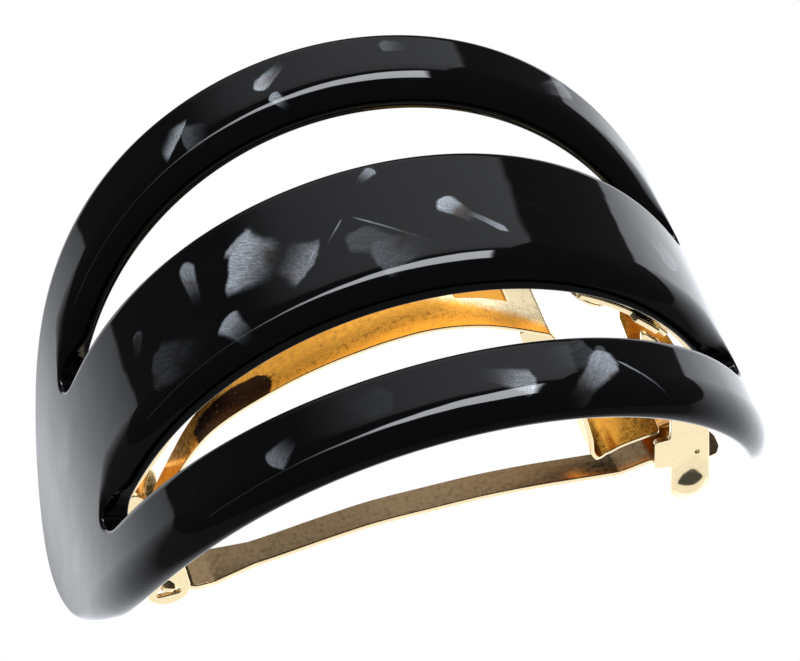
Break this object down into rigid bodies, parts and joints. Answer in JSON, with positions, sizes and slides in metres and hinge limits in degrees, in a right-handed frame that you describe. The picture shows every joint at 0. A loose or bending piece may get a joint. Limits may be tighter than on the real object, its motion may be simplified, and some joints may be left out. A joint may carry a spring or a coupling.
{
  "type": "barrette",
  "caption": "Arched oval hair barrette: a slotted bent acetate plate over a French clip with a hinged swing bar, a bow spring and a pinch catch.",
  "frame": {"origin": "on the underside of the closed swing bar, at the middle of the barrette, where it lies against the head", "axes": "+X along the barrette from the hinge to the catch, +Y across it, +Z out of the head through the crown of the arch"},
  "size_m": [0.0988, 0.0692, 0.0632],
  "materials": {
    "acetate": "polished black cellulose acetate with pearly grey marbling",
    "gilt": "polished gold-plated sheet"
  },
  "bodies": {
    "mounting": {"plate": "acetate", "base_plate": "gilt", "rivet_left": "gilt", "rivet_right": "gilt", "catch_saddle": "gilt", "catch_rivet": "gilt"},
    "bar": {"swing_bar": "gilt"},
    "bow": {"bow_spring": "gilt"},
    "front_arm": {"catch_arm_front": "gilt"},
    "rear_arm": {"catch_arm_rear": "gilt"}
  },
  "joints": [
    {"name": "bar_hinge", "type": "hinge", "parent": "mounting", "child": "bar", "pos_m": [-0.0345, 0, 0.0004], "axis": [0, 1, 0], "range_deg": [0, 95]},
    {"name": "bow_hinge", "type": "hinge", "parent": "mounting", "child": "bow", "pos_m": [-0.0352, 0, 0.0076], "axis": [0, 1, 0], "range_deg": [-3, 0], "stiffness_Nm_per_rad": 0.3},
    {"name": "front_arm_flex", "type": "hinge", "parent": "mounting", "child": "front_arm", "pos_m": [0.0335, -0.0049, 0.0285], "axis": [-1, 0, 0], "range_deg": [0, 4], "stiffness_Nm_per_rad": 0.3},
    {"name": "rear_arm_flex", "type": "hinge", "parent": "mounting", "child": "rear_arm", "pos_m": [0.0335, 0.0049, 0.0285], "axis": [1, 0, 0], "range_deg": [0, 4], "stiffness_Nm_per_rad": 0.3}
  ]
}
